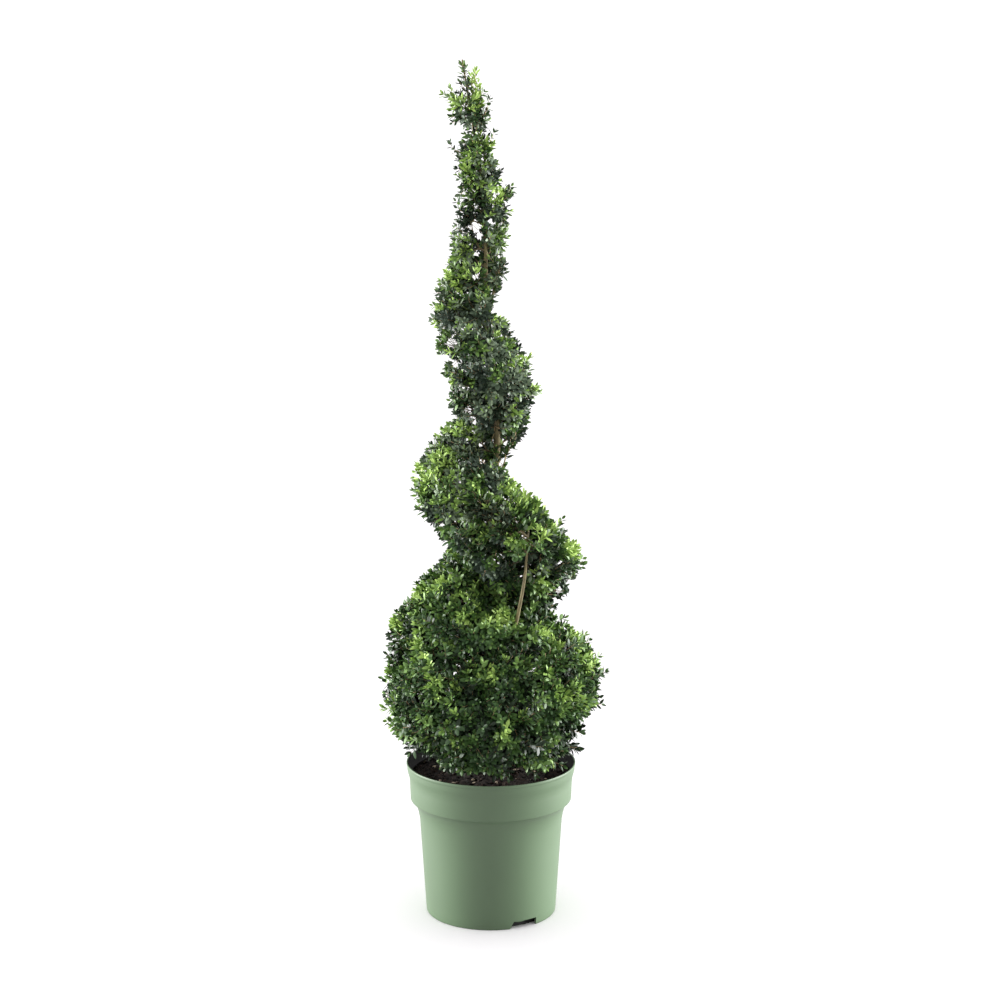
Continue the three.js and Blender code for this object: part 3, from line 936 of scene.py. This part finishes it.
def leavesAlong(line, region, tone, out, dullSheen=False, first=0, ageing=True):
    # Pairs of leaves back from the end of a shoot, each pair turned a quarter from the last.
    parts = np.diff(line, axis=0)
    run = np.concatenate([[0], np.cumsum(np.linalg.norm(parts, axis=1))])
    size = atHeight(leaf["sizeAtHeight"], line[-1][2])
    steps = np.array(leaf["steps"])
    oldStep = leaf["oldStep"][region[:4]]
    stops = np.concatenate([steps, np.arange(steps[-1] + oldStep, run[-1], oldStep)]) * size
    rank = np.arange(len(stops))
    usable = (stops < run[-1] * 0.9) & (rank >= first)
    rank, stops = rank[usable], stops[usable] * rng.uniform(0.9, 1.12)
    if not len(rank):
        return
    where = np.clip(run[-1] - stops, 0, run[-1])
    spots = np.column_stack([np.interp(where, run, line[:, k]) for k in range(3)])
    middles = (run[1:] + run[:-1]) / 2
    heading = unit(np.column_stack([np.interp(where, middles, parts[:, k]) for k in range(3)]))
    side = unit(np.cross(heading, (0.31, 0.22, 0.92)))
    other = np.cross(heading, side)
    count = len(rank)
    turn = rng.random() * math.tau + rank * math.pi / 2 + rng.normal(0, leaf["turnSpread"], count)
    across = side * np.cos(turn)[:, None] + other * np.sin(turn)[:, None]
    kind = np.minimum(rank, len(leaf["openings"]) - 1)
    openings, sizes = np.array(leaf["openings"])[kind], np.array(leaf["sizes"])[kind] * size
    slimness = 1
    if tone >= leaf["freshFrom"]:
        openings, slimness = openings * leaf["freshOpening"], leaf["freshWidth"]
    tones = np.full(count, tone)
    if ageing:
        tones[(rank == 0) & (tone < 5)] += 1
        tones = np.where(rank >= 4, np.clip(tones - 1, 0, 2), tones)
        tones[(rank == 3) & (tone >= 4)] -= 1
    # dull sprays swap their older tones for the grey ones with painted sheen
    if dullSheen:
        tones = np.where(tones <= 3, np.maximum(tones, 1) + 5, tones)
    for sign in (1, -1):
        opening = openings + rng.normal(0, leaf["openingSpread"], count)
        sideways = across * sign
        along = heading * np.cos(opening)[:, None] + sideways * np.sin(opening)[:, None]
        face = heading * np.sin(opening)[:, None] - sideways * np.cos(opening)[:, None]
        along = unit(along + rng.normal(0, leaf["aimSpread"], (count, 3)) + out * leaf["aimOut"])
        face = face + up * leaf["faceUp"] + out * leaf["faceOut"]
        face += rng.normal(0, leaf["faceSpread"], (count, 3))
        face = unit(face - along * (face * along).sum(axis=1, keepdims=True))
        length = rng.uniform(*leaf["length"], count) * sizes
        width = length * rng.uniform(*leaf["widthShare"], count) * slimness
        curl = rng.uniform(*leaf["curl"], count)
        base = spots + along * leaf["stalk"]
        leafRows[region].append(np.column_stack([base, along, face, length, width, curl, tones, rank]))


def spray(start, heading, group, region):
    # The last twig of a branch, with its shoots and their leaves.
    middle = tips[group].mean(axis=0)
    score = freshnessAndLight(middle, tipOut[group].mean(axis=0))
    dullSheen = rng.random() < atHeight(crown["dullSheenShare"], middle[2])
    way = middle - start
    reach = float(np.linalg.norm(way))
    run = reach - crown["shootLength"]
    line = None
    if run > 0.004:
        arrival = unit(way + up * reach * 0.15)
        end = start + way / reach * run
        line = bentLine(start, heading, end, arrival, max(2, int(run / 0.012)))
        thick = thickness(len(group) + 1)
        tint = 0 if rng.random() < crown["browns"] else 1
        branches.append((line, np.linspace(thick * 1.15, thick * 0.9, len(line)), tint, region))
        heading, start = arrival, end
        # the leaves along the twig are two tones darker: older, and partly painted shade inside the crown
        leavesAlong(line, region, max(toneOf(score) - 2, 0), tipOut[group[0]], dullSheen, first=1)
    for rank, index in enumerate(group):
        base, leaving = start, heading
        if rank and line is not None:
            back = rng.uniform(0.6, 0.97) * (len(line) - 1)
            low = int(back)
            part = line[low + 1] - line[low]
            base, leaving = line[low] + part * (back - low), unit(part)
        straight = unit(tips[index] - base)
        leaving = unit(leaving * 0.6 + straight * 0.6)
        arrival = unit(straight + tipOut[index] * 0.45 + up * 0.45 + rng.normal(0, 0.25, 3))
        shoot = bentLine(base, leaving, tips[index], arrival, 3)
        tone = toneOf(score + standingOut(tips[index], tipOut[index]) + rng.normal(0, 0.07))
        radii = np.array((1.3, 1.1, 0.95, 0.6)) * thickness(1)
        branches.append((shoot, radii, 2 if tone >= 3 else 1, region))
        leavesAlong(shoot, region, tone, tipOut[index], dullSheen and tone < 5)


def grow(start, heading, group, region):
    # One branch towards its share of the shoot tips, which then forks and grows on.
    middle = tips[group].mean(axis=0)
    if len(group) <= crown["sprayTips"]:
        spray(start, heading, group, region)
        return
    way = middle - start
    reach = float(np.linalg.norm(way))
    spread = float(np.sqrt(((tips[group] - middle) ** 2).sum(axis=1).mean()))
    run = min(max(reach - crown["forkReach"] * spread, 0.25 * reach), reach * 0.7)
    if run > 0.002:
        arrival = unit(way / reach + up * 0.22 + rng.normal(0, 0.1, 3))
        end = start + way / reach * run + rng.normal(0, 0.035, 3) * run
        line = bentLine(start, heading, end, arrival, max(2, int(run / 0.014)))
        thick = thickness(len(group))
        branches.append((line, np.linspace(thick * 1.12, thick * 0.92, len(line)), 0, region))
        if len(group) < crown["leafyTips"][region[:4]]:
            # old leaves inside the crown take the darkest tone, partly painted shade
            leavesAlong(line, region, 0, tipOut[group[0]], first=1)
        start, heading = end, arrival
    for part in halves(group):
        if len(part):
            grow(start, heading, part, region)


def gathered(group, most):
    if len(group) <= most:
        return [group]
    return [g for part in halves(group) for g in gathered(part, most)]


def growFromLimbs():
    # Branches leave a limb where the way is short, not too flat or steep, and inside the crown.
    flattest, steepest = crown["slopes"]
    for number, mass in enumerate(masses):
        own = np.flatnonzero(tipOwner == number)
        if not len(own):
            continue
        for group in gathered(own, crown["boughTips"][regionOf[mass][:4]]):
            middle = tips[group].mean(axis=0)
            ways = middle - holds[:, :3]
            reach = np.linalg.norm(ways, axis=1)
            rise = ways[:, 2] / reach
            cost = reach * (1 + 1.4 * np.maximum(flattest - rise, 0) + 1.2 * np.maximum(rise - steepest, 0))
            near = np.argsort(cost)[:18:2]
            outside = [sum(not isInside(holds[index, :3] + ways[index] * share) for share in (0.45, 0.7, 0.9))
                       for index in near]
            hold = near[np.argmin(cost[near] + crown["outsidePrice"] * np.array(outside))]
            heading = unit(ways[hold] / reach[hold] + up * 0.35)
            grow(holds[hold, :3].copy(), heading, group, regionOf[mass])


def shortShoots(node, between, reaches, region):
    # Short leafy shoots straight from a thin limb.
    for row in limbLine(node, 0.0042):
        if not between[0] < row[2] < between[1]:
            continue
        angle = rng.random() * math.tau
        out = np.array((math.cos(angle), math.sin(angle), 0.0))
        start = row[:3]
        end = start + out * rng.uniform(*reaches) + up * rng.uniform(*crown["shortRise"])
        shoot = bentLine(start, unit(out + up * 0.5), end, unit(out * 0.6 + up * 0.8), 3)
        branches.append((shoot, np.array((1.2, 1.1, 0.95, 0.6)) * thickness(1), 1, region))
        leavesAlong(shoot, region, toneOf(0.5 + rng.normal(0, 0.15)), out, rng.random() < 0.5)


def topShoots():
    trunk = limbLine("trunk", 0.003)
    for low, end, score in crown["topShoots"]:
        start = np.array([np.interp(low / 1000, trunk[:, 2], trunk[:, k]) for k in range(3)])
        end = np.array(end) / 1000
        out = unit((end - start) * (1, 1, 0.2))
        shoot = bentLine(start, unit(out + up), end, unit(out * 0.2 + up), 6)
        branches.append((shoot, np.linspace(1.9, 0.7, 7) * thickness(1), 1, "TurnThree"))
        leavesAlong(shoot, "TurnThree", toneOf(score), out, ageing=False)


growFromLimbs()
topShoots()
for row in crown["shortShoots"]:
    shortShoots(*row)
print("branches", len(branches), "leaves", sum(len(r) for rows in leafRows.values() for r in rows))


# Leaf outlines: share of the length, share of the width, and rise over the length.
outerLeaf = np.array([
    (0.0, 0.0, -0.01), (0.22, 0.36, -0.02), (0.52, 0.50, -0.03), (0.82, 0.31, -0.07), (1.0, 0.0, -0.10),
    (0.82, -0.31, -0.07), (0.52, -0.50, -0.03), (0.22, -0.36, -0.02), (0.47, 0.0, 0.05),
])  # its last point is its middle
innerLeaf = np.array([
    (0.0, 0.0, -0.01), (0.30, 0.44, -0.02), (0.72, 0.42, -0.05), (1.0, 0.0, -0.10),
    (0.72, -0.42, -0.05), (0.30, -0.44, -0.02),
])
outerFan = np.array([(8, k, (k + 1) % 8) for k in range(8)])
innerFan = np.array([(0, 1, 5), (1, 2, 5), (2, 4, 5), (2, 3, 4)])


def leafPoints(rows, outline):
    base, along, face = rows[:, 0:3], rows[:, 3:6], rows[:, 6:9]
    length, width, curl = rows[:, 9], rows[:, 10], rows[:, 11]
    across = np.cross(face, along)
    points = (base[:, None] + along[:, None] * (length[:, None] * outline[:, 0])[..., None]
              + across[:, None] * (width[:, None] * outline[:, 1])[..., None]
              + face[:, None] * ((length * curl)[:, None] * outline[:, 2])[..., None])
    return points.reshape(-1, 3)


def inTheWay(spots):
    # Leaves that would fill the gaps or hide the limbs that are open to view.
    seen = asSeen(spots)
    hiding = inGap(spots, crown["leafSpare"])
    for node, (low, high, reach) in openToView.items():
        line = limbLine(node, 0.003)
        line = line[(line[:, 2] > low) & (line[:, 2] < high)]
        for row, mark in zip(line, asSeen(line[:, :3])):
            hiding |= (np.hypot(*(seen - mark).T) < reach) & (spots[:, 1] < row[1])
    return hiding


def makeLeaves():
    tints = [plainMaterial(name, tint, leaf["rough"], leaf["specular"]) for name, tint in leafTints.items()]
    for region, rows in leafRows.items():
        rows = np.concatenate(rows)
        rows = rows[~inTheWay(rows[:, 0:3] + rows[:, 3:6] * rows[:, 9:10] * 0.5)]
        plain = rows[:, 13] >= leaf["plainFrom"]
        parts = []
        for kept, outline, fan in ((rows[~plain], outerLeaf, outerFan), (rows[plain], innerLeaf, innerFan)):
            firsts = np.arange(len(kept)) * len(outline)
            faces = (firsts[:, None, None] + fan).reshape(-1, 3)
            parts.append((leafPoints(kept, outline), faces, np.repeat(kept[:, 12], len(fan))))
        points, faces, tones = joined(parts)
        piece = pieceFromArrays("leaves" + region, points, faces, tones, tints)
        declare(piece, "foliage", *regions[region])
        print("leaves", region, len(rows), "triangles", len(faces))


def tubeOf(line, radii, sides):
    heading = unit(np.gradient(line, axis=0))
    side = unit(np.cross(heading, (0.53, 0.41, 0.12)))
    other = np.cross(heading, side)
    turn = np.arange(sides) * math.tau / sides
    ring = side[:, None] * np.cos(turn)[:, None] + other[:, None] * np.sin(turn)[:, None]
    points = (line[:, None] + ring * radii[:, None, None]).reshape(-1, 3)
    faces = []
    for step in range(len(line) - 1):
        for k in range(sides):
            a, b = step * sides + k, step * sides + (k + 1) % sides
            faces += [(a, b, b + sides), (a, b + sides, a + sides)]
    last = (len(line) - 1) * sides
    for k in range(1, sides - 1):
        faces += [(0, k + 1, k), (last, last + k, last + k + 1)]
    return points, np.array(faces)


def makeTwigs():
    tints = [plainMaterial(name, tint, 0.7) for name, tint in twigTints.items()]
    for name, kind in (("twigsBall", "Ball"), ("twigsSpiral", "Turn")):
        parts = []
        for line, radii, tint, region in branches:
            if region.startswith(kind):
                points, faces = tubeOf(line, radii, 3 if radii[0] < crown["fineTwig"] else 5)
                parts.append((points, faces, [tint] * len(faces)))
        points, faces, slots = joined(parts)
        declare(pieceFromArrays(name, points, faces, slots, tints), "bark")
        print(name, len(faces), "triangles")


makeLeaves()
makeTwigs()
print("crown ready")
